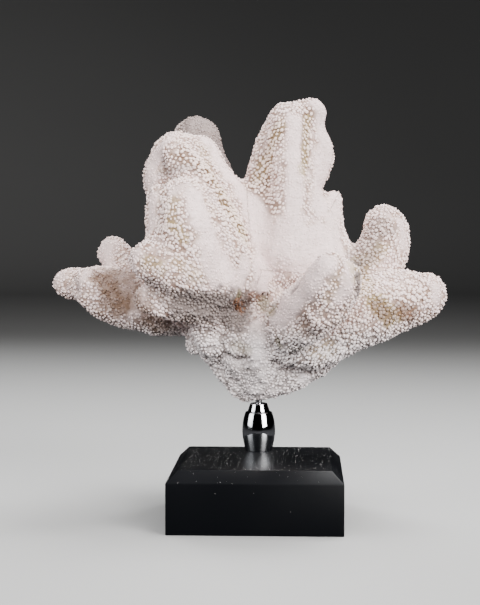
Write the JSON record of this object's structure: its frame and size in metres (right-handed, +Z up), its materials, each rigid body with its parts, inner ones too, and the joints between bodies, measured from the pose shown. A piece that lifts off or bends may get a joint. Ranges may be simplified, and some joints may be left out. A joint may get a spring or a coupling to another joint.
{
  "type": "coral skeleton on a display stand",
  "caption": "Bleached, warty branching coral skeleton held up by a pin in a small chrome riser on a bevelled black block, for display on a shelf or table.",
  "frame": {"origin": "centre of the block's square underside, on the surface it stands on", "axes": "+Z up; the front of the coral faces -Y; +X to the right seen from the front"},
  "size_m": [0.2367, 0.1871, 0.2511],
  "materials": {
    "black_acrylic": "black, satin gloss, with white coral dust",
    "chrome": "polished chrome",
    "steel": "plain steel",
    "coral": "bleached white, dry and matt, with ochre and brown between the warts"
  },
  "bodies": {
    "root": {"base_block": "black_acrylic", "riser_barrel": "chrome", "riser_collar": "chrome", "mounting_pin": "steel", "coral_trunk": "coral", "coral_left_tower": "coral", "coral_rear_left_tower": "coral", "coral_left_pad": "coral", "coral_left_arm": "coral", "coral_centre_tower": "coral", "coral_rear_tower": "coral", "coral_right_upper_finger": "coral", "coral_right_lower_finger": "coral", "coral_front_finger": "coral", "coral_rear_left_finger": "coral", "coral_rear_middle_finger": "coral", "coral_rear_right_finger": "coral"}
  },
  "joints": []
}
